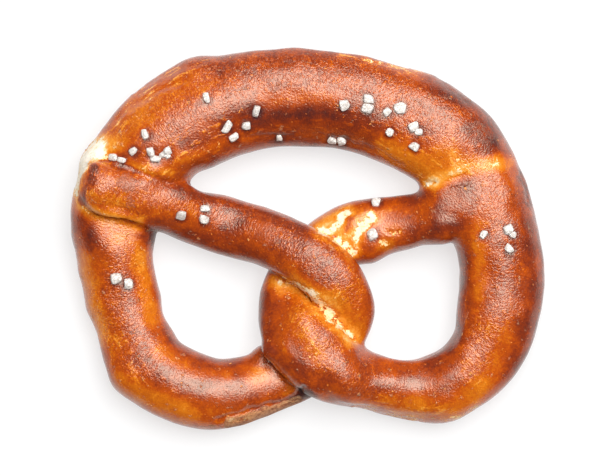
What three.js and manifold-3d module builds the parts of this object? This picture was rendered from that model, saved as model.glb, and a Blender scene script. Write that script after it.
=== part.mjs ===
// A baked soft pretzel: one strand of dough, thin at its two ends and thick in its middle, laid in a
// loop, twisted once round itself and pressed onto its own shoulders. Millimetres, +Z up. It lies flat
// on the face it was baked on, with the origin in the middle of that base. +Y runs from the twist
// towards the thick belly, and +X towards the loop whose arm passes under the other at the upper cross.
import * as THREE from "three";
import { mergeVertices } from "three/addons/utils/BufferGeometryUtils.js";
import Module from "manifold-3d";

// Driving dimensions.
const PRETZEL_WIDTH = 150; // across both loops
const ARM_WIDTH = 18; // the thin ends of the strand
const FULLNESS = 0.86; // height of the dough over its width, where nothing presses on it
const SIDES = 24; // facets round the strand
const RING_SPACING = 4.4; // length of strand between two cross-sections
const SECTION_POWER = 2.25; // 2 is an ellipse; a little more gives the squarer shoulders of baked dough
const TIP_SHARE = 0.25; // width left in the last cross-section at each end, which a small fan closes
const TIP_STEPS = [0, 20, 42, 65]; // degrees round the rounded end at which its cross-sections stand

// Stations along the strand: x and y on the tray, width, lift of the underside above the tray and height
// over width. A lift below zero is dough that has sagged, so the tray has flattened it. The numbers suit
// a pretzel of the drawn width, and are scaled to the width above.
const DRAWN_WIDTH = 150;
const leftArm = [
  [-71.4, 16.6, 17, 15, FULLNESS],
  [-63.3, 16, 17.4, 15, FULLNESS],
  [-51.3, 12.5, 17, 12.5, FULLNESS],
  [-43, 9.8, 17.4, 7, FULLNESS],
  [-34.5, 7.1, 17.8, 2.5, FULLNESS],
  [-23.7, 3.6, 18.5, 1, FULLNESS],
  [-11.7, 0.2, 18.5, 4, FULLNESS],
  [-0.6, -5.2, 18.7, 9.5, 0.82],
  [8, -11.8, 18.7, 10.5, 0.82],
  [12.6, -21, 18, 7, 0.8],
  [9.2, -31.8, 18.4, 1, 0.78],
  [-0.3, -40, 19.6, -1, 0.75],
];
const loopsAndBelly = [
  [-11.4, -45.2, 20.6, -1.5, 0.8],
  [-21, -48.2, 22, -2, FULLNESS],
  [-32, -48.6, 23.6, -2, FULLNESS],
  [-47.2, -42.4, 24.9, -2, FULLNESS],
  [-54.2, -30.8, 23.4, -2, FULLNESS],
  [-59.6, -11, 23.5, -2, FULLNESS],
  [-61, 0.2, 27.2, -2, FULLNESS],
  [-59.2, 13.1, 29.8, -2, FULLNESS],
  [-51, 26.7, 32.9, -2, FULLNESS],
  [-36.6, 38.1, 33.8, -2, FULLNESS],
  [-13.9, 44.3, 31.2, -2, FULLNESS],
  [9, 44.1, 30.8, -2, FULLNESS],
  [25, 40.2, 30.8, -2, FULLNESS],
  [45.3, 29.9, 31.9, -2, FULLNESS],
  [53.8, 18, 28.4, -2, 0.88],
  [59.3, 6, 27.5, -2, 0.92],
  [61.7, -10, 26, -2, 0.9],
  [60.9, -24.5, 26.8, -2, FULLNESS],
  [57.6, -34.4, 24.6, -2, FULLNESS],
  [50.2, -43, 23.2, -2, FULLNESS],
  [40.5, -47.6, 21.6, -2, FULLNESS],
  [30.4, -47.8, 19, -1.5, FULLNESS],
];
const rightArm = [
  [19.3, -44.9, 18.9, 0, FULLNESS],
  [9.7, -41.2, 22.8, 6, 0.76],
  [1.4, -35.3, 25, 9.5, 0.7],
  [-3, -27.4, 24.3, 6.5, 0.7],
  [-4.6, -19.1, 21.3, 1, 0.72],
  [-0.9, -10.3, 19.6, -1, 0.72],
  [7.4, -2.1, 19.5, -1, 0.78],
  [17.2, 2.7, 19.6, 0, FULLNESS],
  [30.7, 5.2, 17.7, 3, FULLNESS],
  [41.5, 8.4, 17.7, 8, FULLNESS],
  [51.9, 12.6, 17.7, 11, FULLNESS],
  [61, 16, 17, 10.5, FULLNESS],
];

// The route carries x, y and lift, the build carries width and height share, both by station.
const stations = [...leftArm, ...loopsAndBelly, ...rightArm];
const scale = PRETZEL_WIDTH / DRAWN_WIDTH;
const smoothThrough = (points) => new THREE.CatmullRomCurve3(points, false, "catmullrom");
const route = smoothThrough(
  stations.map(([x, y, , lift]) => new THREE.Vector3(x, y, lift).multiplyScalar(scale)),
);
const build = smoothThrough(
  stations.map(([, , width, , share]) => new THREE.Vector3(width * scale, share, 0)),
);
route.arcLengthDivisions = 2000;
const length = route.getLength();

// The strand's ends are round in plan: within half a width of the tip the section closes as a circle does.
function endTaper(distance, halfWidth) {
  const inside = Math.min(1, distance / halfWidth);
  return Math.max(TIP_SHARE, Math.sqrt(1 - (1 - inside) ** 2));
}

function superellipse(angle) {
  const soften = (value) => Math.sign(value) * Math.abs(value) ** (2 / SECTION_POWER);
  return [soften(Math.cos(angle)), soften(Math.sin(angle))];
}

// One cross-section of the strand: an oval in an upright plane, flattened where it would pass the tray.
function ring(distance) {
  const t = route.getUtoTmapping(distance / length);
  const at = route.getPoint(t);
  const along = route.getTangent(t);
  const across = new THREE.Vector3(along.y, -along.x, 0).normalize();
  const { x: width, y: heightShare } = build.getPoint(t);
  const taper = endTaper(Math.min(distance, length - distance), width / 2);
  const middle = at.z + (width * heightShare) / 2;
  return Array.from({ length: SIDES }, (_, i) => {
    const [u, v] = superellipse((2 * Math.PI * i) / SIDES);
    const z = middle + (v * taper * width * heightShare) / 2;
    return new THREE.Vector3(at.x, at.y, 0)
      .addScaledVector(across, (u * taper * width) / 2)
      .setZ(Math.max(0, z));
  });
}

// Rings joined into a closed tube, with a fan to the middle of the ring at each end.
function tube(rings) {
  const middleOf = (points) =>
    points.reduce((sum, p) => sum.add(p), new THREE.Vector3()).divideScalar(points.length);
  const points = [...rings.flat(), middleOf(rings[0]), middleOf(rings.at(-1))];
  const first = points.length - 2;
  const last = points.length - 1;
  const lastRing = (rings.length - 1) * SIDES;
  const index = [];
  for (let i = 0; i < SIDES; i++) {
    const next = (i + 1) % SIDES;
    for (let start = 0; start < lastRing; start += SIDES) {
      const [a, b] = [start + i, start + next];
      index.push(a, b + SIDES, b, a, a + SIDES, b + SIDES);
    }
    index.push(first, i, next, last, lastRing + next, lastRing + i);
  }
  return new THREE.BufferGeometry().setFromPoints(points).setIndex(index);
}

const wasm = await Module();
wasm.setup();

function solidOf(geometry) {
  const merged = mergeVertices(geometry, 1e-4);
  return new wasm.Manifold(
    new wasm.Mesh({
      numProp: 3,
      vertProperties: merged.getAttribute("position").array,
      triVerts: new Uint32Array(merged.index.array),
    }),
  );
}

function geometryOf(solid) {
  const mesh = solid.getMesh();
  return new THREE.BufferGeometry()
    .setAttribute("position", new THREE.BufferAttribute(mesh.vertProperties, 3))
    .setIndex(new THREE.BufferAttribute(mesh.triVerts, 1));
}

// Distances along the strand of all cross-sections: close together in the two round ends, even between.
const tipRadius = (ARM_WIDTH * scale) / 2;
const tipDistances = TIP_STEPS.map((step) => tipRadius * (1 - Math.cos(THREE.MathUtils.degToRad(step))));
const evenLength = length - 2 * tipRadius;
const evenCount = Math.round(evenLength / RING_SPACING);
const distances = [
  ...tipDistances,
  ...Array.from({ length: evenCount + 1 }, (_, i) => tipRadius + (evenLength * i) / evenCount),
  ...tipDistances.map((d) => length - d).reverse(),
];

// The strand crosses itself at the twist and on both shoulders, so it is made in three lengths that
// meet face to face, and the crosses fuse when the lengths are joined.
const rings = distances.map(ring);
function ringNearStation(station) {
  const share = station / (stations.length - 1);
  const misses = distances.map((d) => Math.abs(route.getUtoTmapping(d / length) - share));
  return misses.indexOf(Math.min(...misses));
}
const loopStart = ringNearStation(leftArm.length);
const loopEnd = ringNearStation(leftArm.length + loopsAndBelly.length);
const [leftLength, loopLength, rightLength] = [
  rings.slice(0, loopStart + 1),
  rings.slice(loopStart, loopEnd + 1),
  rings.slice(loopEnd),
].map((run) => solidOf(tube(run)));
const strand = leftLength.add(loopLength).add(rightLength);

const crust = new THREE.MeshStandardMaterial({ color: 0xa4521f, roughness: 0.4, metalness: 0 });
const pretzel = new THREE.Mesh(geometryOf(strand), crust);
pretzel.name = "pretzel";

// The middle of the base goes to the origin.
const middle = new THREE.Box3().setFromObject(pretzel).getCenter(new THREE.Vector3());
pretzel.position.set(-middle.x, -middle.y, 0);

const part = new THREE.Group();
part.add(pretzel);
export default part;
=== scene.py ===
import math

import bpy
import numpy as np
from mathutils import Matrix, Vector, noise


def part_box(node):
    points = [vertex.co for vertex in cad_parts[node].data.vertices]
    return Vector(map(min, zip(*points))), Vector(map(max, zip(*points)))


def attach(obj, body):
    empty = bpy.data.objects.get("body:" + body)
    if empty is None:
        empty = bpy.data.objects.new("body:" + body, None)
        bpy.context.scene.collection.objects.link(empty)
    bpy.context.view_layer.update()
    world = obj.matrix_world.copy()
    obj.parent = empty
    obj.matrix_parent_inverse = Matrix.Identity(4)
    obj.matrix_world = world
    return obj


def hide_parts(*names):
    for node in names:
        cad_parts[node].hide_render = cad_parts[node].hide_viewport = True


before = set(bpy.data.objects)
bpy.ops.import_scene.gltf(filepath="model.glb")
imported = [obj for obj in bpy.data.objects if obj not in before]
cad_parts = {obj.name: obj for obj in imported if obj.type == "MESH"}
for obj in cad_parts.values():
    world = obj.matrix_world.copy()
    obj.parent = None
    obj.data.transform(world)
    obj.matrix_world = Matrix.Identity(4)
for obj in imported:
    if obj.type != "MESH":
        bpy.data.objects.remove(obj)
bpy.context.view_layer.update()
low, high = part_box("pretzel")
designWidth = 150   # every place and size below is in the millimetres of a pretzel this wide
unit = (high.x - low.x) / designWidth
print("frame loaded, one unit is", round(unit * 1000, 4), "mm")


def selectOnly(piece):
    bpy.ops.object.select_all(action="DESELECT")
    piece.select_set(True)
    bpy.context.view_layer.objects.active = piece


def applyModifier(piece, kind, **settings):
    selectOnly(piece)
    modifier = piece.modifiers.new(kind.lower(), kind)
    for name, value in settings.items():
        setattr(modifier, name, value)
    bpy.ops.object.modifier_apply(modifier=modifier.name)


def readPoints(piece):
    found = np.empty(len(piece.data.vertices) * 3, np.float32)
    piece.data.vertices.foreach_get("co", found)
    return found.reshape(-1, 3).astype(float) / unit


def readNormals(piece):
    found = np.empty(len(piece.data.vertices) * 3, np.float32)
    piece.data.vertices.foreach_get("normal", found)
    return found.reshape(-1, 3).astype(float)


def writePoints(piece, points):
    piece.data.vertices.foreach_set("co", (points * unit).astype(np.float32).ravel())
    piece.data.update()


def readEdges(piece):
    found = np.empty(len(piece.data.edges) * 2, np.int32)
    piece.data.edges.foreach_get("vertices", found)
    return found.reshape(-1, 2)


def spread(values, edges, rounds):   # averages each vertex with its neighbours, again and again
    count = np.bincount(edges.ravel(), minlength=len(values)).astype(float)
    share = count if values.ndim == 1 else count[:, None]
    for _ in range(rounds):
        total = np.zeros_like(values)
        np.add.at(total, edges[:, 0], values[edges[:, 1]])
        np.add.at(total, edges[:, 1], values[edges[:, 0]])
        values = (values + total / share) / 2
    return values


def smoothStep(values, start, end):   # 0 at the start, 1 at the end, eased in between
    t = np.clip((values - start) / (end - start), 0, 1)
    return t * t * (3 - 2 * t)


def cloud(points, size, seed):   # soft noise from about -1 to 1 with lumps of that size
    shift = Vector((seed * 17.3, seed * 5.1, seed * 9.7))
    return np.array([noise.noise(Vector(point) / size + shift) for point in points])


def spotGap(points, x, y):   # distance seen from above
    return np.hypot(points[:, 0] - x, points[:, 1] - y)


def lineGap(places, line):   # from each place to the nearest point of a line seen from above
    line = np.array(line, float)
    gap = np.linalg.norm(places - line[0], axis=1)
    for start, end in zip(line, line[1:]):
        run = end - start
        t = np.clip(((places - start) @ run) / (run @ run), 0, 1)
        gap = np.minimum(gap, np.linalg.norm(places - start - t[:, None] * run, axis=1))
    return gap


def strokeWeight(places, strokes):   # full inside 0.4 of the half width, nothing past 1.4 of it
    weight = np.zeros(len(places))
    for line, halfWidth, strength in strokes:
        inside = smoothStep(lineGap(places, line), halfWidth * 1.4, halfWidth * 0.4)
        weight = np.maximum(weight, strength * inside)
    return weight


crustShape = {
    "voxel": 0.72,                   # grain of the fine mesh
    "subdivisions": 2,
    "sharpAngle": 38,                # CAD edges sharper than this stay creased
    "smoothing": 5,                  # rounds over the whole crust
    "creaseHold": 0.8,               # how much of that the seams between strands escape
    "seamDepths": (0.02, 0.09),      # hollows from faint to deep enough for a join between strands
    "melting": 500,                  # more rounds where one strand has sunk into another
    "meltHeights": (8, 16),          # nothing melts below the first, everything above the second
    "leanHeights": (11, 20),         # the same for the leaning of the top
    "topHeights": (5, 10),           # the same for dents and torn places
    "footHeights": (0.2, 4),         # the same for all relief: the foot stays flat
    "topFacing": (0.2, 0.8),         # how far up a surface faces to count as the top
    "lumpSize": 17, "lumpHeight": 0.45,
    "dimpleSize": 5.5, "dimpleHeight": 0.18,
    "foldSize": 2.2, "foldHeight": 0.035, "foldEverywhere": 0.3,   # the broader wrinkles
    "rounding": 0.5,                 # how much the rounded tops fall off to their sides
    "tornDepth": 0.30,               # how far bare dough lies under the crust round it
    "dentReach": 2.6, "dentCore": 0.6, "dentDepth": 0.12,    # the hollow round each grain of salt
    "wander": 0.4,                   # how much finer waves join the broad ones on the edges of strokes
}

# Middle line of the strand, from its left end to its right end: x, y, height and half width
strandRoute = [
    (-72, 16.6, 22, 8.5), (-51, 12.5, 20, 8.5), (-34.5, 7, 10, 8.8), (-12, 0, 12, 9.2),
    (3, -8.5, 18, 9.3), (12.6, -21, 14, 9), (9, -32, 8, 9.2), (-5, -43, 7, 10), (-21, -48, 8, 11),
    (-40, -46, 9, 12), (-54.3, -31, 9, 11.7), (-59.8, -11, 9, 11.8), (-59.5, 12, 11, 14.8),
    (-51, 26.5, 12, 16.3), (-36.5, 38, 13, 16.8), (-14, 44.2, 12, 15.6), (9, 44, 12, 15.4),
    (25, 40, 12, 15.4), (45, 30, 12, 15.9), (54, 18, 11, 14.2), (61.5, -8, 10, 13),
    (60.8, -24.5, 10, 13.3), (57, -34, 10, 12.4), (40.5, -47.6, 8, 10.8), (19, -45, 8, 9.5),
    (9.7, -41, 14, 11.4), (1.4, -35.3, 18, 12.4), (-4.6, -19, 9, 10.6), (-1, -10.3, 7, 9.8),
    (17.4, 2.5, 8, 9.6), (30.7, 5.2, 10, 8.9), (52, 12.6, 18, 8.9), (61, 16, 18, 8.5),
]

# Dough pushed out (or in, below zero) all the way round: x, y, radius, push
doughBumps = [
    (-66, -25, 5, -0.5), (-63, -36, 5, 0.5), (-69, -13, 6, 0.5), (-72, -4, 5, -0.4),
    (-44, 52, 9, 0.2), (-62, 34, 7, -0.4), (58, 40, 7, 0.3), (36, 52, 8, 0.4), (69, 17, 6, 0.4),
    (-36, 56.5, 8, 1.5), (42, 50, 11, 1.0), (66, 26, 12, 0.7), (75, -12, 14, 1.0), (21, -22, 8, 0.7),
    (8, 60, 13, -1.1), (-70, 26, 6, 1.3), (43, 1, 6, 2.0), (21, -5, 5, 1.4), (-69, -22, 7, 1.4),
    (-14, -36, 4, 1.6), (-60, -45, 8, 1.5), (-45, -24, 6, -1.2), (-32, 14, 5, -0.8),
    (-34, 20, 5, -1.0), (45, -57, 9, 1.2), (-10, 61, 7, -0.8),
]

# The top of the dough raised or lowered: x, y, radius, push
crownBumps = [
    (-58, 5, 10, -1.7), (-57, -10, 10, 1.0), (60, 0, 12, 0.6), (54, 15, 13, -1.3), (59, -27, 11, 0.5),
    (46, -43, 14, 1.8), (34, -46, 13, 1.2), (15, -43, 9, 1.2), (29, -45.5, 10, 1.7),
    (-13, 1, 10, 1.4), (5, -9, 9, -1.0), (3, -36, 11, -2.4), (21, -45, 13, 2.2), (0, -23, 7, 1.2),
    (-60, 15, 15, -1.7), (-49, 20, 5, 1.2), (-38, 9.5, 11, 1.9), (-8, -32, 8, -1.3),
]

# Where the top of the strand is rounder, less flat: line, half width, strength
roundedStrokes = [
    ([(-60, -14), (-57, -24), (-48, -40), (-30, -46), (-14, -44)], 14, 1.0),
    ([(61, -16), (60, -25), (46, -43), (28, -46)], 14, 1.0),
    ([(-55, 37), (-40, 42), (-28, 44)], 14, 2.4),
]

# The top of the strand leans over here: x, y, radius, lean across x and across y
crownLeans = [
    (2, 45, 38, 0, 2.2), (-42, 40, 22, 0.4, -0.9), (54, 14, 14, 2.5, 0), (62, -10, 16, -2.0, 0),
    (58, -32, 14, -2.0, 1.5), (33, -44, 17, 0, -4.6), (-57, -18, 14, -1.6, 0), (-34, 8, 18, 0.8, 2.2),
    (30, 8, 14, 0.4, -2.4), (1, -31, 12, -2.2, 0), (17, -44, 12, 0, -2.6),
]

# Where the end of the right arm has sunk into the loop under it
meltStrokes = [([(49, 12), (56, 14), (64, 15)], 16, 1.0)]

# Creases pressed into the dough: line, half width, depth
creaseStrokes = [
    ([(-15, 54.6), (-11, 55.4), (-5, 55.8)], 0.9, 0.25), ([(-14, 56), (-8, 57)], 0.8, 0.2),
    ([(-60, 38.5), (-55, 43), (-50, 46.2), (-44, 49), (-38, 51)], 1.0, 0.3),
    ([(-54, 46.5), (-48, 50.3), (-40, 53.4), (-32, 55.6)], 1.0, 0.3),
    ([(-20, 31.6), (-12, 32.6), (-4, 33)], 1.0, 0.3),
    ([(4, 32.6), (14, 31), (22, 28), (30, 24)], 1.0, 0.3),
    ([(41, 49.6), (46, 46.2), (51, 43)], 0.9, 0.25),
    ([(-28, -57.2), (-23, -55.2), (-16, -53.5), (-8, -52.3), (-3, -49), (-1, -47)], 1.1, 0.7),
    ([(44.6, 3.6), (46.4, 1.4), (48.6, -1.6)], 0.9, 0.35),
    ([(38, 17.6), (42, 17.4), (46, 18.8), (50, 20.6)], 1.2, 0.5),
    ([(67, 19.5), (69, 16.5), (70, 12.5)], 0.9, 0.35),
    ([(-61, 24.2), (-55, 22.4), (-50, 20.4), (-44, 18.4)], 1.0, 0.5),
]

# Ridges are creases of a depth below zero: these run over the front strand of the twist
ridgeStrokes = [
    ([(-2, -20), (2, -28), (7, -37)], 6.5, -0.9), ([(7, -37), (13, -43), (22, -46)], 6, -0.5),
]


def strandSamples():   # a smooth line through the route, a point every unit or so
    route = np.array(strandRoute, float)
    padded = np.vstack([2 * route[0] - route[1], route, 2 * route[-1] - route[-2]])
    samples = []
    for before, start, end, after in zip(padded, padded[1:], padded[2:], padded[3:]):
        steps = max(4, int(np.linalg.norm(end[:2] - start[:2])))
        for t in np.arange(steps) / steps:
            samples.append(0.5 * (2 * start + (end - before) * t
                                  + (2 * before - 5 * start + 4 * end - after) * t ** 2
                                  + (3 * start - before - 3 * end + after) * t ** 3))
    return np.array(samples)


def strandPlaces(points, batch=4000):
    # For each point: how far along the strand, how far to its side and its height, then
    # its side again as a share of the half width there
    samples = strandSamples()
    along = np.r_[0, np.cumsum(np.linalg.norm(np.diff(samples[:, :3], axis=0), axis=1))]
    heading = np.gradient(samples[:, :2], axis=0)
    heading /= np.linalg.norm(heading, axis=1)[:, None]
    nearest = np.empty(len(points), int)
    for start in range(0, len(points), batch):
        part = points[start:start + batch]
        gaps = np.linalg.norm(part[:, None] - samples[None, :, :3], axis=2) - samples[None, :, 3]
        nearest[start:start + batch] = gaps.argmin(1)
    offset = points[:, :2] - samples[nearest, :2]
    ahead = (offset * heading[nearest]).sum(1)
    side = offset[:, 0] * heading[nearest, 1] - offset[:, 1] * heading[nearest, 0]
    return np.c_[along[nearest] + ahead, side, points[:, 2]], side / samples[nearest, 3]


def makeCrustShape():
    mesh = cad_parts["pretzel"].data.copy()
    mesh.materials.clear()
    crust = bpy.data.objects.new("baked_crust", mesh)
    bpy.context.scene.collection.objects.link(crust)
    selectOnly(crust)
    bpy.ops.object.mode_set(mode="EDIT")
    bpy.ops.mesh.select_all(action="SELECT")
    bpy.ops.mesh.remove_doubles(threshold=unit * 0.02)
    bpy.ops.mesh.tris_convert_to_quads(face_threshold=math.radians(40), shape_threshold=math.radians(60))
    bpy.ops.mesh.select_all(action="DESELECT")
    bpy.ops.mesh.edges_select_sharp(sharpness=math.radians(crustShape["sharpAngle"]))
    bpy.ops.transform.edge_crease(value=1)
    bpy.ops.object.mode_set(mode="OBJECT")
    levels = crustShape["subdivisions"]
    applyModifier(crust, "SUBSURF", levels=levels, render_levels=levels)
    applyModifier(crust, "REMESH", mode="VOXEL", voxel_size=crustShape["voxel"] * unit)
    return crust


def seamDepth(piece, rounds):   # above zero in a hollow, below zero on a ridge
    points, edges = readPoints(piece), readEdges(piece)
    towards = spread(points, edges, 2) - points
    return spread((towards * readNormals(piece)).sum(1), edges, rounds)


def smoothPart(weights, rounds):
    group = crust.vertex_groups.new(name="soft")
    for index, value in enumerate(weights):
        group.add([index], value, "REPLACE")
    applyModifier(crust, "SMOOTH", factor=0.5, iterations=rounds, vertex_group="soft")
    crust.vertex_groups.clear()


def smoothCrust():
    hollow = smoothStep(seamDepth(crust, 2), *crustShape["seamDepths"])
    held = np.clip(2 * spread(hollow, readEdges(crust), 3), 0, 1)
    smoothPart(1 - crustShape["creaseHold"] * held, crustShape["smoothing"])
    points = readPoints(crust)
    sunk = strokeWeight(points[:, :2], meltStrokes)
    smoothPart(sunk * smoothStep(points[:, 2], *crustShape["meltHeights"]), crustShape["melting"])


def leanCrown():
    points = readPoints(crust)
    for x, y, radius, acrossX, acrossY in crownLeans:
        share = smoothStep(spotGap(points, x, y), radius, radius * 0.4)
        share *= smoothStep(points[:, 2], *crustShape["leanHeights"])
        points[:, 0] += acrossX * share
        points[:, 1] += acrossY * share
    writePoints(crust, points)


def wander(points):   # how far the edges of strokes stray from their lines
    broad = np.c_[cloud(points, 5, 3), cloud(points, 5, 4)]
    fine = np.c_[cloud(points, 1.8, 5), cloud(points, 1.8, 6)]
    return broad + crustShape["wander"] * fine


def unevenness(points, plan):   # lumps, dimples and the broader wrinkles
    lumps = crustShape["lumpHeight"] * cloud(points, crustShape["lumpSize"], 1)
    dimples = crustShape["dimpleHeight"] * cloud(points, crustShape["dimpleSize"], 2)
    folds = 1 - 2 * np.abs(cloud(points, crustShape["foldSize"], 7))
    wrinkled = crustShape["foldEverywhere"] + strokeWeight(plan, crustStrokes["wrinkled"])
    return lumps + dimples + crustShape["foldHeight"] * folds * wrinkled


def bumpLift(points, bumps):   # each bump fades out at 1.3 of its radius
    lift = np.zeros(len(points))
    for x, y, radius, push in bumps:
        lift += push * smoothStep(spotGap(points, x, y), radius * 1.3, 0)
    return lift


def creaseDepth(plan):   # each crease fades out at 1.5 of its half width
    depth = np.zeros(len(plan))
    for line, halfWidth, full in creaseStrokes + ridgeStrokes:
        depth += full * smoothStep(lineGap(plan, line), halfWidth * 1.5, 0)
    return depth


def dentDepth(points):   # a hollow under each grain of salt
    depth = np.zeros(len(points))
    for x, y, *_ in saltGrains:
        near = smoothStep(spotGap(points, x, y), crustShape["dentReach"], crustShape["dentCore"])
        depth += crustShape["dentDepth"] * near
    return depth


def roundingDepth(points, plan):   # deepest between the middle of the strand and its sides
    _, rim = strandPlaces(points)
    slope = 4 * rim ** 2 * np.clip(1 - rim ** 2, 0, 1)
    return crustShape["rounding"] * strokeWeight(plan, roundedStrokes) * slope


def shapeDough():
    points, normals = readPoints(crust), readNormals(crust)
    plan = points[:, :2] + wander(points)
    above = smoothStep(points[:, 2], *crustShape["topHeights"])
    upwards = smoothStep(normals[:, 2], *crustShape["topFacing"])
    torn = smoothStep(strokeWeight(plan, crustStrokes["torn"]), 0.4, 0.6)
    lift = unevenness(points, plan) + bumpLift(points, doughBumps)
    lift += bumpLift(points, crownBumps) * upwards
    lift -= creaseDepth(plan) + roundingDepth(points, plan)
    lift -= (dentDepth(points) + crustShape["tornDepth"] * torn) * above
    lift *= smoothStep(points[:, 2], *crustShape["footHeights"])
    points += normals * lift[:, None]
    points[:, 2] = np.maximum(points[:, 2], 0)
    writePoints(crust, points)


# Grains: x, y, length across x, length across y, turn in degrees
saltGrains = [
    (-31.2, 44.3, 1.9, 3.3, 14), (-50.5, 32.9, 1.9, 3.4, 17), (-24.9, 35.6, 1.8, 3.9, -25),
    (-22.9, 32.3, 3.4, 1.9, 36), (-15.8, 40.4, 2.0, 3.7, -8), (-19.0, 36.0, 2.8, 2.3, 4),
    (-8.5, 32.3, 1.6, 2.3, 16), (-54.2, 27.9, 2.8, 1.7, 38), (-48.8, 27.7, 2.0, 2.9, 12),
    (-47.2, 25.2, 2.9, 2.0, -6), (-45.0, 26.9, 2.3, 1.9, 24), (-43.4, 28.0, 2.0, 2.4, 30),
    (-43.3, 26.3, 1.5, 1.5, 0), (-60.5, 26.0, 2.9, 2.2, -10), (-57.9, 25.0, 2.6, 1.8, -14),
    (-39.5, 7.7, 2.5, 2.7, 0), (-32.0, 9.8, 2.8, 1.9, 6), (-32.2, 6.4, 2.8, 2.2, -20),
    (12.0, 42.4, 2.8, 2.9, 10), (19.5, 44.2, 3.0, 2.8, 0), (19.2, 41.3, 3.2, 2.5, -12),
    (25.5, 40.1, 2.2, 2.0, 35), (29.4, 41.4, 3.0, 3.1, 12), (26.2, 33.9, 2.4, 2.7, -36),
    (8.2, 31.7, 2.6, 2.1, -30), (11.4, 31.3, 2.6, 2.3, 24), (33.9, 35.4, 2.9, 2.7, 20),
    (35.4, 33.9, 2.4, 1.9, -10), (34.2, 29.3, 2.9, 2.3, -26), (22.2, 11.5, 2.8, 2.4, 10),
    (21.1, 1.7, 2.8, 2.9, 30), (55.9, 1.6, 2.0, 2.8, -30), (63.4, 3.1, 2.6, 2.7, 18),
    (65.0, 1.7, 2.2, 1.7, -6), (63.9, -3.0, 2.5, 2.1, -40), (-60.0, -12.3, 2.6, 2.8, 14),
    (-56.3, -14.2, 2.5, 2.9, 6),
]
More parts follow.
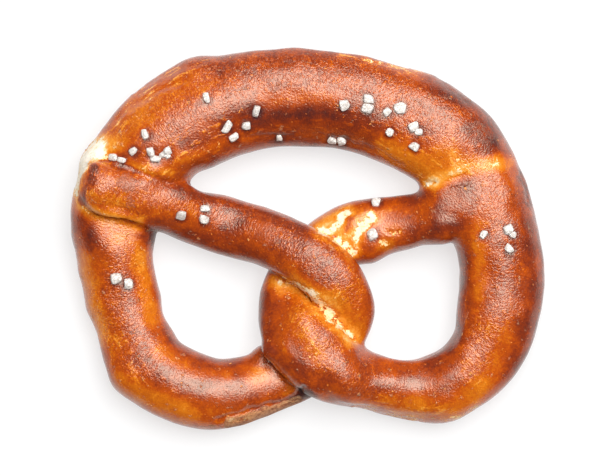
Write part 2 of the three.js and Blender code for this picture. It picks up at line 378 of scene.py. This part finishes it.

# Where the crust is baked darker (above zero) or stays lighter, with a few strokes of painted shade and
# painted highlight: line, half width, change of tone
bakeShadeAndHighlightStrokes = {
    "belly": [
        ([(-30, 55), (-8, 58.5), (10, 57.5), (28, 53)], 4.5, 0.10),
        ([(-13, 43.3), (0, 44), (12, 43.5)], 2.6, -0.15),
        ([(-18, 49), (0, 50.5), (20, 49.5)], 4, -0.01),
        ([(-24, 37.5), (-10, 39.5), (5, 39), (20, 36)], 4.2, 0.12),
        ([(-8, 39.5), (10, 39)], 2.5, 0.05),
        ([(-28, 25), (-14, 30), (0, 31), (14, 29.5), (28, 23)], 3, 0.05),
        ([(-60, 31), (-54, 38), (-44, 45), (-36, 48)], 7, -0.08),
        ([(-50, 24), (-40, 28), (-30, 32)], 4, -0.12), ([(-38, 30), (-28, 33)], 2.5, 0.16),
        ([(26, 26), (34, 25), (42, 22), (44, 27)], 6, -0.18),
        ([(-57, 23.5), (-50, 22.5), (-43, 21)], 1.6, -0.14),
    ],
    "leftShoulder": [
        ([(-63, 16), (-59, 13)], 5, -0.12),
        ([(-71, 10.5), (-66.5, 7.4), (-60, 6.8), (-53, 5)], 2.3, -0.24),
        ([(-72, 26), (-66, 31), (-60, 30)], 2.5, -0.16),
        ([(-65, 28.5), (-70, 25), (-72.5, 15)], 2, -0.3),
    ],
    "rightShoulder": [
        ([(40, 50), (50, 45), (58, 37), (63, 29)], 4, 0.16), ([(50, 17), (51, 15)], 3, 0.06),
        ([(53, 34), (57, 32)], 4, 0.14), ([(58, 20), (62, 17), (60, 10)], 4, -0.10),
        ([(41, 18.4), (48, 20.6), (53, 23), (58, 24.6), (64, 24.2)], 2.4, -0.2),
        ([(46, 27), (48, 22)], 1.6, -0.07),
    ],
    "leftLoop": [
        ([(-69.5, 6), (-69, -1)], 3, 0.14), ([(-71, -6), (-68.5, -17), (-65, -30)], 3, -0.18),
        ([(-52, -5), (-51, -16), (-48.5, -26)], 2.6, -0.16),
        ([(-62, -10), (-61, -20), (-59, -28)], 4, -0.03), ([(-54, -30), (-50, -38)], 3, 0.06),
        ([(-49, 2), (-48, 0)], 3, 0.24), ([(-56, -46), (-48, -51.5), (-40, -54)], 5, -0.14),
        ([(-36, -54), (-24, -52)], 4, -0.06),
        ([(-45, -28), (-38, -37), (-28, -40), (-18, -38)], 2.2, 0.10),
        ([(-63, 3.5), (-56, 2), (-51, 1)], 3.5, -0.15), ([(-58, -1), (-55, -6)], 4, -0.12),
        ([(-46, -36), (-37, -41), (-26, -42.6)], 2.5, -0.12),
        ([(-45, -43), (-30, -45), (-20, -43)], 4, 0.06),
    ],
    "rightLoop": [
        ([(73, 4), (74, -12), (72, -28), (65, -42)], 5, 0.16),
        ([(50, -6), (50, -20), (47.5, -31), (40, -38)], 3, 0.12),
        ([(54.5, 5), (55, -6), (55, -17)], 2.6, -0.16), ([(36, -52), (46, -52), (53, -48)], 4, -0.14),
        ([(57, -44), (61, -38), (63, -30)], 4, -0.14), ([(20, -44), (34, -45), (44, -41)], 4, 0.04),
        # both strokes on the next line are lighter crust and partly a painted highlight along the lower
        # right strand
        ([(57, -27), (55, -35), (50, -41)], 3, -0.09), ([(26, -50), (36, -50)], 2.2, -0.08),
        ([(62, 0), (62, -16)], 4, 0.05),
    ],
    "arms": [
        ([(-40, 14.5), (-22, 9.5), (-4, 4.5), (8, -1)], 2.5, 0.13),
        ([(-44, 4), (-30, -1), (-14, -7)], 3, 0.10), ([(-26, 4), (-20, 5)], 2, 0.12),
        ([(16, 10.5), (26, 12), (38, 14)], 2, 0.10), ([(34, 1), (40, 2.5), (46, 4)], 3, 0.08),
        ([(7, 3), (15, 4), (24, 4)], 5, -0.09), ([(12.6, 4.2), (14.6, 6.6)], 1.3, 0.16),
        ([(-50, 13), (-36, 10)], 3, -0.09), ([(5, 5), (10, 3), (14, 0)], 4, -0.14),
        ([(-4, -2), (6, -9)], 5, 0.07),
    ],
    "knot": [
        ([(9, -18), (13, -23), (16, -29)], 4.5, -0.18),
        ([(-13, -18), (-13, -30), (-8, -41), (-1, -48)], 4, 0.10),
        ([(-11, -14), (-6, -16)], 2.2, -0.16), ([(-9, -26), (-7, -34)], 4, -0.06),
        # the last stroke on the next line is painted shade on the torn seam deep in the twist
        ([(-1, -25), (1, -31), (4, -37)], 3.5, -0.12), ([(5.5, -21), (8.5, -25)], 2, 0.16),
        ([(-3, -17), (3, -22), (8, -27), (14, -33)], 1.6, -0.12),
        ([(-17, -44), (-11, -42), (-6, -46)], 3, -0.2), ([(0, -31), (3, -36)], 2.5, -0.08),
    ],
}

# Strokes laid on the crust from above: a line of (x, y) places, its half width and its strength
crustStrokes = {
    "burnt": [   # darkest, dull
        ([(-66, 22.8), (-68.8, 20), (-70.8, 16), (-70.2, 11.8)], 1.7, 1.0),
        ([(-66.5, 21), (-68, 17.5)], 2.2, 0.6), ([(68.5, 20.4), (70.3, 15.7), (71, 12)], 2.2, 0.55),
        ([(56.7, 40.5), (60, 36)], 3.0, 0.3), ([(-47.5, 1), (-46.5, -4)], 2.0, 0.6),
        ([(-5, -50.5), (-1, -48.6), (1.5, -49.6)], 1.8, 0.8),
    ],
    "torn": [   # bare dough, under the crust round it
        ([(-67.5, 28.3), (-65.2, 30)], 2.1, 1.0), ([(-66, 27), (-62.6, 26.4)], 1.6, 1.0),
        ([(-69.3, 26.3), (-71.2, 22.3)], 1.9, 1.0), ([(-71.8, 21), (-72.7, 17)], 1.3, 1.0),
        ([(-72.6, 16), (-72.2, 13.5)], 0.6, 0.8), ([(-71.8, 12), (-70, 9.6), (-67.5, 7.6)], 0.5, 0.5),
        ([(13, 8.4), (11.5, 7.2), (9.8, 5.2), (8.2, 3.4)], 1.6, 1.0),
        ([(19.8, 7.4), (19, 5), (17.4, 3), (16, 0.8)], 1.7, 1.0),
        ([(4.6, 2.9), (6.6, 2.4)], 1.1, 1.0), ([(9.8, 0), (12, -1.6), (14.8, -3.4)], 1.5, 1.0),
        ([(20.5, 8.6), (22, 7)], 1.2, 0.5), ([(25.4, 2.4), (26.8, 1.8), (29, 2)], 0.8, 0.6),
        ([(23, -1), (25.5, -1.6)], 0.8, 0.5),
        ([(1, -16.4), (3.2, -18.2), (5, -20.2), (6.5, -22.3), (8, -24.2)], 1.6, 1.0),
        ([(8.4, -24.6), (10.5, -27)], 1.1, 0.9), ([(-9.3, -13), (-7, -13.8)], 0.7, 0.8),
        ([(-4, -13.8), (-1.5, -14.8), (0.3, -15.9)], 1.1, 0.8),
        ([(10.8, -26.6), (12.8, -28.6), (15, -31)], 1.0, 0.8),
        ([(-23.5, -57.4), (-18.5, -56.2)], 0.9, 0.7),
        ([(15.5, -53), (18, -53.6), (21, -54.2)], 0.9, 0.6),
        ([(26, -55.3), (30, -56.5), (36, -58)], 1.0, 0.6),
        ([(45, -57), (50, -55.8), (54, -53)], 0.9, 0.5),
        ([(18, 56.4), (24, 55.6), (32, 54.2)], 0.9, 0.5),
        ([(50, 22.4), (55, 23.6), (60, 24.4)], 1.2, 0.45), ([(38.5, 17.7), (40, 17.6)], 0.7, 0.8),
        ([(47, 25.8), (48, 24.6)], 0.8, 0.4), ([(48.3, 22), (48.8, 21.8)], 0.8, 0.45),
    ],
    "fleck": [   # light streaks along the strand
        ([(-49.4, 23.6), (-41.5, 27.5), (-33.5, 30.9), (-26.6, 33.7)], 6, 0.9),
        ([(-27, 32), (-10, 35), (10, 34.5), (24, 30)], 3.5, 0.45),
        ([(15, 39), (28, 35), (38, 30)], 4, 0.6),
        ([(-59.5, 37.8), (-54.1, 43.5), (-46.2, 49.8), (-38.3, 53), (-32, 54.9)], 3.5, 1.0),
        ([(12, 58.3), (20.3, 56.6), (28.2, 54.6), (37.7, 52)], 2.5, 1.0),
        ([(42, 30), (47, 24), (52, 22)], 7, 0.5), ([(36, 18), (39, 13)], 4, 0.7),
        ([(-2, -24), (4, -34), (12, -42)], 4, 0.6), ([(-60, -33), (-52, -42), (-44, -48)], 4, 0.6),
        ([(50, -20), (56, -32), (52, -44)], 5, 0.5), ([(20, -50), (30, -54), (42, -54)], 3, 0.5),
        ([(-63, 33), (-52, 33)], 5, 0.6),
    ],
    "coarse": [   # rough, crumbly crust
        ([(-23, -58.8), (-16, -56.4), (-10, -54.8), (-5, -52.8), (-3.5, -51.6)], 2.8, 1.0),
        ([(-31, -59.6), (-24, -58.2)], 1.3, 0.3),
    ],
    "blister": [   # dull scabs
        ([(-56.8, 19), (-55.4, 16.7)], 3.0, 1.0), ([(-55.1, 12.5), (-55.1, 11.4)], 1.6, 0.8),
        ([(54, 34), (57, 32)], 3.5, 0.7),
    ],
    "wrinkled": [   # strong leathery folds
        ([(-30, 50), (-10, 53), (10, 52), (28, 48)], 7, 1.0), ([(-46, 38), (-36, 42)], 8, 0.8),
        ([(36, 42), (48, 36)], 8, 0.8), ([(-60, -18), (-57, -30), (-50, -38)], 7, 1.0),
        ([(-60, -2), (-58, -8)], 6, 0.7), ([(-50, 13), (-36, 10), (-20, 6)], 5, 0.8),
        ([(-6, 1), (4, -5), (12, -14)], 7, 1.0), ([(60, 10), (63, -8), (62, -22)], 6, 0.8),
        ([(14, -42), (26, -47)], 5, 0.6), ([(0, -24), (4, -30), (8, -38)], 6, 0.8),
        ([(-66, 18), (-54, 14)], 8, 1.0), ([(54, 26), (56, 14)], 6, 0.7),
        ([(52, -40), (57, -28)], 5, 0.7),
    ],
}

crust = makeCrustShape()
print("crust remeshed,", len(crust.data.polygons), "faces")
smoothCrust()
leanCrown()
shapeDough()
crust.data.shade_smooth()
print("crust shaped")


class Wire:   # one socket, with the sums that the materials use
    def __init__(self, maker, socket):
        self.maker = maker
        self.socket = socket

    def maths(self, operation, *values):
        return self.maker.add("ShaderNodeMath", {"operation": operation}, dict(enumerate(values)))

    def __add__(self, other):
        return self.maths("ADD", self, other)

    def __sub__(self, other):
        return self.maths("SUBTRACT", self, other)

    def __rsub__(self, other):
        return self.maths("SUBTRACT", other, self)

    def __mul__(self, other):
        return self.maths("MULTIPLY", self, other)

    def __abs__(self):
        return self.maths("ABSOLUTE", self)

    __radd__ = __add__
    __rmul__ = __mul__

    def swing(self, reach):   # noise from 0 to 1 becomes a change either way
        return reach * (self - 0.5)


def setStops(elements, stops):   # of a colour ramp, in order from 0 to 1
    for position, _ in stops[1:-1]:
        elements.new(position)
    for element, (_, shade) in zip(elements, stops):
        element.color = shade


class Finish:   # a material, or the surroundings, under construction
    def __init__(self, name, kind="materials"):
        self.made = getattr(bpy.data, kind).new(name)
        self.made.use_nodes = True
        self.made.node_tree.nodes.clear()

    def add(self, kind, settings, values, out=0):
        tree = self.made.node_tree
        node = tree.nodes.new(kind)
        for name, value in settings.items():
            if name == "stops":
                setStops(node.color_ramp.elements, value)
            else:
                setattr(node, name, value)
        for name, value in values.items():
            if isinstance(value, Wire):
                tree.links.new(value.socket, node.inputs[name])
            else:
                node.inputs[name].default_value = value
        return Wire(self, node.outputs[out]) if out is not None else None

    def place(self):   # where on the object
        return self.add("ShaderNodeTexCoord", {}, {}, out="Object")

    def attribute(self, name, out="Fac"):
        return self.add("ShaderNodeAttribute", {"attribute_name": name}, {}, out=out)

    def stretch(self, vector, *shares):
        return self.add("ShaderNodeVectorMath", {"operation": "MULTIPLY"}, {0: vector, 1: shares})

    def noise(self, vector, size, detail, roughness=0.5, distortion=0.0):
        values = {"Vector": vector, "Scale": 1 / (size * unit), "Detail": detail,
                  "Roughness": roughness, "Distortion": distortion}
        return self.add("ShaderNodeTexNoise", {}, values)

    def cells(self, vector, size):
        return self.add("ShaderNodeTexVoronoi", {}, {"Vector": vector, "Scale": 1 / (size * unit)})

    def wrinkles(self, vector, size, width, detail, distortion):   # rounded ridges with sharp creases
        return self.step(abs(self.noise(vector, size, detail, 0.5, distortion) - 0.5), 0, width)

    def step(self, value, start, end):
        values = {"Value": value, "From Min": start, "From Max": end}
        return self.add("ShaderNodeMapRange", {"interpolation_type": "SMOOTHSTEP"}, values)

    def blend(self, share, first, second):
        return self.add("ShaderNodeMix", {"data_type": "RGBA"}, {0: share, 6: first, 7: second}, out=2)

    def bump(self, height, distance):
        values = {"Height": height, "Distance": distance * unit, "Strength": 1}
        return self.add("ShaderNodeBump", {}, values)

    def finish(self, **values):
        inputs = {name.replace("_", " "): value for name, value in values.items()}
        shader = self.add("ShaderNodeBsdfPrincipled", {}, inputs)
        self.add("ShaderNodeOutputMaterial", {}, {"Surface": shader}, out=None)
        return self.made


def linear(level):   # one channel of a screen colour, 0 to 255, as shaders take it
    return ((level / 255 + 0.055) / 1.055) ** 2.4 if level > 10 else level / 3295


def colour(red, green, blue):
    return (linear(red), linear(green), linear(blue), 1.0)


def writeLayer(name, values):
    if values.ndim == 2:
        layer = crust.data.attributes.new(name, "FLOAT_VECTOR", "POINT")
        layer.data.foreach_set("vector", values.astype(np.float32).ravel())
    else:
        layer = crust.data.attributes.new(name, "FLOAT", "POINT")
        layer.data.foreach_set("value", values.astype(np.float32))


# Each edge runs from where a look starts to where it is full. "ragged" and "frayed" are how much
# broader and finer noise eats into that edge, "dull" is added roughness, "relief" is height.
crustFinish = {
    "tone": 0.56,           # how far the whole crust is baked, 0 raw to 1 burnt
    "stops": [
        (0.00, colour(255, 246, 230)), (0.12, colour(243, 206, 144)), (0.26, colour(234, 152, 54)),
        (0.40, colour(211, 114, 17)), (0.56, colour(179, 74, 10)), (0.72, colour(135, 49, 17)),
        (0.86, colour(98, 37, 24)), (1.00, colour(66, 30, 32)),
    ],
    "clouds": {             # noise that the looks share, from broad to fine
        "broad": {"size": 20, "detail": 2},
        "patchy": {"size": 6, "detail": 3, "roughness": 0.6},
        "spots": {"size": 2.2, "detail": 3, "roughness": 0.6},
        "lengthways": {"size": 1.5, "detail": 3, "roughness": 0.6},
        "crumb": {"size": 0.8, "detail": 4, "roughness": 0.7},
        "fine": {"size": 0.75, "detail": 2, "roughness": 0.6},
        "grain": {"size": 0.6, "detail": 1},
    },
    "uneven": {"broad": 0.24, "patchy": 0.32, "spots": 0.26, "fine": 0.12, "lengthways": 0.16},
    "leather": {"size": 0.9, "width": 0.3, "detail": 1, "distortion": 0.4},
    "crossways": {"size": 0.75, "width": 0.3, "detail": 0.5, "distortion": 0.4},
    # folds tone: painted shade in the creases of the wrinkles and painted light on their ridges
    "folds": {"plain": 0.35, "wrinkled": 0.75, "middle": 0.6, "tone": 0.13},
    "joinGap": 3,           # strands meet where places along them are this far apart
    # crown: where the top faces straight up it is darker, partly crust baked more, partly painted shade
    # against the strong light from the lamps overhead
    "crown": {"edge": (0.85, 0.99), "tone": 0.08},
    # painted shade: the crust is darker in hollows, where strands meet and in creases
    "seam": {"edge": (0.02, 0.15), "tone": 0.22},
    "halo": {"reach": 1.6, "shift": 0.25, "tone": 0.18},    # round each grain, off to one side
    "bakeUneven": 1.2,
    "streak": {"frayed": 0.4, "edge": (0.52, 0.68), "tone": 0.38, "relief": 0.8},
    "pale": {"wider": 1.3, "margin": 1.6, "tone": 0.20, "ragged": 0.9},    # round torn places
    "char": {"ragged": 1.2, "edge": (0.1, 1.0), "tone": 0.32, "dull": 0.2},
    "bare": {"heights": (4, 10), "wander": 2, "ragged": 2.4, "frayed": 1.8, "edge": (0.35, 0.95),
             "tone": 0.82, "dull": 0.3, "relief": 1.5},
    "rough": {"ragged": 1.8, "streaked": 1.2, "edge": (0.25, 0.7), "cover": 0.75, "dull": 0.4,
              "relief": 5, "crumbs": (0.42, 0.57), "dark": colour(122, 66, 36),
              "light": colour(198, 144, 98)},
    "scab": {"ragged": 1.0, "frayed": 1.6, "edge": (0.5, 0.85), "cover": 0.42, "dull": 0.15,
             "relief": 2, "colour": colour(142, 80, 60)},
    "wrinkle": 0.084,       # height of the leathery wrinkle
    "grainHeight": 1.2,     # of the finest grain, as a share of the wrinkle
    "roughness": 0.2, "patchyRoughness": 0.14,
    "shine": 0.76, "sheen": colour(255, 239, 216),
    "glaze": 0.15, "glazeRoughness": 0.2, "charGlaze": 0.8,    # how much of the glaze burns off
}


def bakeShadeAndHighlightTone(plan):   # full inside 0.2 of each half width, nothing past 1.7 of it
    tone = np.zeros(len(plan))
    for strokes in bakeShadeAndHighlightStrokes.values():
        for line, halfWidth, change in strokes:
            tone += change * smoothStep(lineGap(plan, line), halfWidth * 1.7, halfWidth * 0.2)
    return tone


def saltHalo(points):   # strongest at the edge of each grain
    halo = np.zeros(len(points))
    shift = crustFinish["halo"]["shift"]
    for x, y, width, depth, _ in saltGrains:
        away = spotGap(points, x + shift, y - shift) - (width + depth) / 4
        halo = np.maximum(halo, smoothStep(away, crustFinish["halo"]["reach"], 0.1))
    return halo


def strandJoins(along):   # where two strands meet, so places along the strand jump
    edges = readEdges(crust)
    jump = np.zeros(len(along))
    apart = np.abs(np.diff(along[edges], axis=1)[:, 0])
    jump[edges[apart > crustFinish["joinGap"]].ravel()] = 4
    return np.clip(spread(jump, edges, 5), 0, 1)


def paintCrust():
    points, normals = readPoints(crust), readNormals(crust)
    plan = points[:, :2] + wander(points)
    bare, pale = crustFinish["bare"], crustFinish["pale"]
    above = smoothStep(points[:, 2] + bare["wander"] * cloud(points, 4, 8), *bare["heights"])
    for name, strokes in crustStrokes.items():
        writeLayer(name, strokeWeight(plan, strokes) * (above if name == "torn" else 1))
    wider = [(line, pale["wider"] * halfWidth + pale["margin"], strength)
             for line, halfWidth, strength in crustStrokes["torn"]]
    dough, _ = strandPlaces(points)
    # baked tone, with the painted shade and painted highlight strokes
    writeLayer("bake", bakeShadeAndHighlightTone(plan))
    writeLayer("pale", strokeWeight(plan, wider) * above)
    writeLayer("halo", saltHalo(points))
    writeLayer("dough", dough * unit)
    writeLayer("join", strandJoins(dough[:, 0]))
    # how deep each hollow is, for the painted shade there
    writeLayer("seam", np.clip(seamDepth(crust, 1), 0, 1))
    # how far each place faces up, for the painted shade on the top
    writeLayer("slope", normals[:, 2])


paintCrust()
print("crust painted")


def crustFolds(m, here, dough):   # leathery wrinkles, and finer ones across the strand
    leather = m.wrinkles(here, **crustFinish["leather"])
    crossways = m.wrinkles(m.stretch(dough, 1, 0.4, 0.4), **crustFinish["crossways"])
    size = crustFinish["folds"]["plain"] + crustFinish["folds"]["wrinkled"] * m.attribute("wrinkled")
    return (leather + crossways * (1 - m.attribute("join"))) * size


def crustMaterial():
    m = Finish("crust")
    look = crustFinish
    clouds = look["clouds"]
    here = m.place()
    dough = m.attribute("dough", "Vector")
    broad = m.noise(here, **clouds["broad"])
    patchy = m.noise(here, **clouds["patchy"])
    spots = m.noise(here, **clouds["spots"])
    fine = m.noise(here, **clouds["fine"])
    crumb = m.noise(here, **clouds["crumb"])
    lengthways = m.noise(m.stretch(dough, 0.3, 1, 1), **clouds["lengthways"])
    folds = crustFolds(m, here, dough)

    tone = look["tone"] + broad.swing(look["uneven"]["broad"]) + patchy.swing(look["uneven"]["patchy"])
    tone = tone + spots.swing(look["uneven"]["spots"]) + fine.swing(look["uneven"]["fine"])
    tone = tone + lengthways.swing(look["uneven"]["lengthways"])
    # painted shade in the wrinkles' creases, painted light on their ridges
    tone = tone - look["folds"]["tone"] * (folds - look["folds"]["middle"])
    # darker where the top faces straight up: partly deeper baking, partly painted shade
    tone = tone + look["crown"]["tone"] * m.step(m.attribute("slope"), *look["crown"]["edge"])
    # painted shade in the hollows
    tone = tone + look["seam"]["tone"] * m.step(m.attribute("seam"), *look["seam"]["edge"])
    # baked tone, with a few strokes of painted shade and painted highlight
    tone = tone + m.attribute("bake") * (1 + patchy.swing(look["bakeUneven"]))
    tone = tone + look["halo"]["tone"] * m.attribute("halo")

    streak = m.step(lengthways + fine.swing(look["streak"]["frayed"]), *look["streak"]["edge"])
    streak = streak * m.attribute("fleck")
    paler = m.attribute("pale") * (look["pale"]["tone"] + spots.swing(look["pale"]["ragged"]))
    char = m.step(m.attribute("burnt") + spots.swing(look["char"]["ragged"]), *look["char"]["edge"])
    torn = m.attribute("torn") + spots.swing(look["bare"]["ragged"])
    bare = m.step(torn + fine.swing(look["bare"]["frayed"]), *look["bare"]["edge"])
    tone = tone - look["streak"]["tone"] * streak - paler + look["char"]["tone"] * char
    tone = tone * (1 - look["bare"]["tone"] * bare)
    base = m.add("ShaderNodeValToRGB", {"stops": look["stops"]}, {"Fac": tone})

    coarse = m.attribute("coarse") + spots.swing(look["rough"]["ragged"])
    rough = m.step(coarse + lengthways.swing(look["rough"]["streaked"]), *look["rough"]["edge"])
    crumbs = m.step(0.5 * crumb + 0.5 * lengthways, *look["rough"]["crumbs"])
    crumbColour = m.blend(crumbs, look["rough"]["dark"], look["rough"]["light"])
    base = m.blend(look["rough"]["cover"] * rough, base, crumbColour)

    blister = m.attribute("blister") + spots.swing(look["scab"]["ragged"])
    scab = m.step(blister + fine.swing(look["scab"]["frayed"]), *look["scab"]["edge"])
    base = m.blend(look["scab"]["cover"] * scab, base, look["scab"]["colour"])

    height = folds + look["grainHeight"] * m.noise(here, **clouds["grain"])
    height = height + look["streak"]["relief"] * streak * (1 - m.attribute("join"))
    height = height + (look["rough"]["relief"] * rough + look["bare"]["relief"] * bare) * crumb
    height = height + look["scab"]["relief"] * scab * fine
    dull = look["rough"]["dull"] * rough + look["bare"]["dull"] * bare + look["scab"]["dull"] * scab
    dull = dull + look["char"]["dull"] * char
    glaze = look["glaze"] * (1 - look["charGlaze"] * char) * (1 - bare) * (1 - rough)
    gloss = look["roughness"] + patchy.swing(look["patchyRoughness"]) + dull
    return m.finish(Base_Color=base, Roughness=gloss, Normal=m.bump(height, look["wrinkle"]),
                    Specular_IOR_Level=look["shine"], Specular_Tint=look["sheen"],
                    Coat_Weight=glaze, Coat_Roughness=look["glazeRoughness"])


crust.data.materials.append(crustMaterial())
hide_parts("pretzel")
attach(crust, "root")
print("crust finished")

saltStyle = {
    "size": 0.9,        # of the lengths given with the grains
    "tall": 0.75,       # height as a share of the shorter length
    "sunk": 0.3,        # share of the height below the crust
    "bevel": 0.14,
    "uneven": 0.42,     # how far corners stray, as a share of the shorter length
    "seed": 11,
    "grey": colour(196, 187, 178), "white": colour(244, 239, 233), "edge": (0.35, 0.7),
    "roughness": 0.42, "facetRoughness": 0.2, "relief": 0.12,
}


def addGrain(index, x, y, width, depth, turn):
    above = Vector((x, y, 100)) * unit
    _, place, facing, _ = crust.ray_cast(above, Vector((0, 0, -1)))
    height = saltStyle["tall"] * min(width, depth)
    across = Vector((0, 1, 0)).cross(facing).normalized()
    lean = Matrix((across, facing.cross(across), facing)).transposed().to_euler()
    lean.rotate_axis("Z", math.radians(turn))
    middle = place + facing * (0.5 - saltStyle["sunk"]) * height * unit   # part of it lies below the crust
    lengths = Vector((width, depth, height)) * saltStyle["size"]
    bpy.ops.mesh.primitive_cube_add(size=unit, location=middle, rotation=lean, scale=lengths)
    grain = bpy.context.object
    bpy.ops.object.transform_apply(location=True, rotation=True, scale=True)
    bpy.ops.object.mode_set(mode="EDIT")
    bpy.ops.mesh.select_all(action="SELECT")
    bpy.ops.mesh.subdivide(number_cuts=1)
    stray = saltStyle["uneven"] * min(width, depth) * unit
    bpy.ops.transform.vertex_random(offset=stray, seed=saltStyle["seed"] + index)
    bpy.ops.mesh.convex_hull()
    bpy.ops.mesh.bevel(offset=saltStyle["bevel"] * unit, segments=1, affect="EDGES")
    bpy.ops.object.mode_set(mode="OBJECT")
    return grain


def makeSalt():
    bpy.context.view_layer.update()
    grains = [addGrain(index, *grain) for index, grain in enumerate(saltGrains)]
    selectOnly(grains[0])
    for grain in grains:
        grain.select_set(True)
    bpy.ops.object.join()
    salt = bpy.context.object
    salt.name = "salt_grains"
    bpy.ops.object.transform_apply(location=True, rotation=True, scale=True)
    applyModifier(salt, "SUBSURF", levels=1, render_levels=1)
    salt.data.shade_smooth()
    return salt


def saltMaterial():
    m = Finish("salt")
    here = m.place()
    facet = m.noise(here, 0.7, 3, 0.6)
    base = m.blend(m.step(facet, *saltStyle["edge"]), saltStyle["grey"], saltStyle["white"])
    height = m.noise(here, 0.5, 3, 0.6) + m.cells(here, 0.9)
    gloss = saltStyle["roughness"] + saltStyle["facetRoughness"] * facet
    return m.finish(Base_Color=base, Roughness=gloss, Normal=m.bump(height, saltStyle["relief"]))


salt = makeSalt()
salt.data.materials.append(saltMaterial())
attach(salt, "root")
print("salt scattered,", len(salt.data.polygons), "faces")

# In metres and watts. The three lights lie over each other, so the softbox is brighter
# towards its middle.
studio = {
    "floorSize": 4.0, "floorGap": 0.0003, "floorColour": colour(138, 138, 138), "floorRoughness": 0.7,
    "floorGlow": 0.66,
    "surroundings": 0.06,
    "softbox": {"size": (3.1, 2.4), "place": (0.33, 0.62, 1.87), "power": 29},
    "middle": {"size": (2.2, 1.9), "place": (0.36, 0.56, 1.88), "power": 29},
    "lamp": {"size": (1.3, 1.3), "place": (0.38, 0.52, 1.89), "power": 25},
    "cameraPlace": (0, 0.0005, 1.5),
    "fieldWidth": 0.193698, "fieldHeight": 0.012,   # how wide the view is, and at which height
    "sensor": 36,
}
white = (1, 1, 1, 1)


def makeFloor():
    bpy.ops.object.select_all(action="DESELECT")
    place = (0, 0, low.z - studio["floorGap"])
    bpy.ops.mesh.primitive_plane_add(size=studio["floorSize"], location=place)
    floor = bpy.context.object
    floor.name = "floor"
    finish = Finish("pale_floor").finish(
        Base_Color=studio["floorColour"], Roughness=studio["floorRoughness"],
        Emission_Color=white, Emission_Strength=studio["floorGlow"])
    floor.data.materials.append(finish)


def surroundings():
    m = Finish("surroundings", "worlds")
    backdrop = m.add("ShaderNodeBackground", {}, {"Color": white, "Strength": studio["surroundings"]})
    m.add("ShaderNodeOutputWorld", {}, {"Surface": backdrop}, out=None)
    return m.made


def areaLight(name, size, place, power):
    light = bpy.data.lights.new(name, "AREA")
    light.shape = "RECTANGLE"
    light.size, light.size_y = size
    light.energy = power
    lamp = bpy.data.objects.new(name, light)
    lamp.location = place
    lamp.rotation_euler = (-Vector(place)).to_track_quat("-Z", "Y").to_euler()
    bpy.context.scene.collection.objects.link(lamp)


def makeCamera():
    camera = bpy.data.objects.new("camera", bpy.data.cameras.new("camera"))
    camera.location = studio["cameraPlace"]
    camera.data.sensor_width = studio["sensor"]
    reach = studio["cameraPlace"][2] - studio["fieldHeight"]
    camera.data.lens = studio["sensor"] * reach / studio["fieldWidth"]
    bpy.context.scene.collection.objects.link(camera)
    bpy.context.scene.camera = camera


def makeStudio():
    makeFloor()
    for name in ("softbox", "middle", "lamp"):
        areaLight(name, **studio[name])
    bpy.context.scene.world = surroundings()
    bpy.context.scene.view_settings.view_transform = "Standard"
    makeCamera()


makeStudio()
print("studio set")
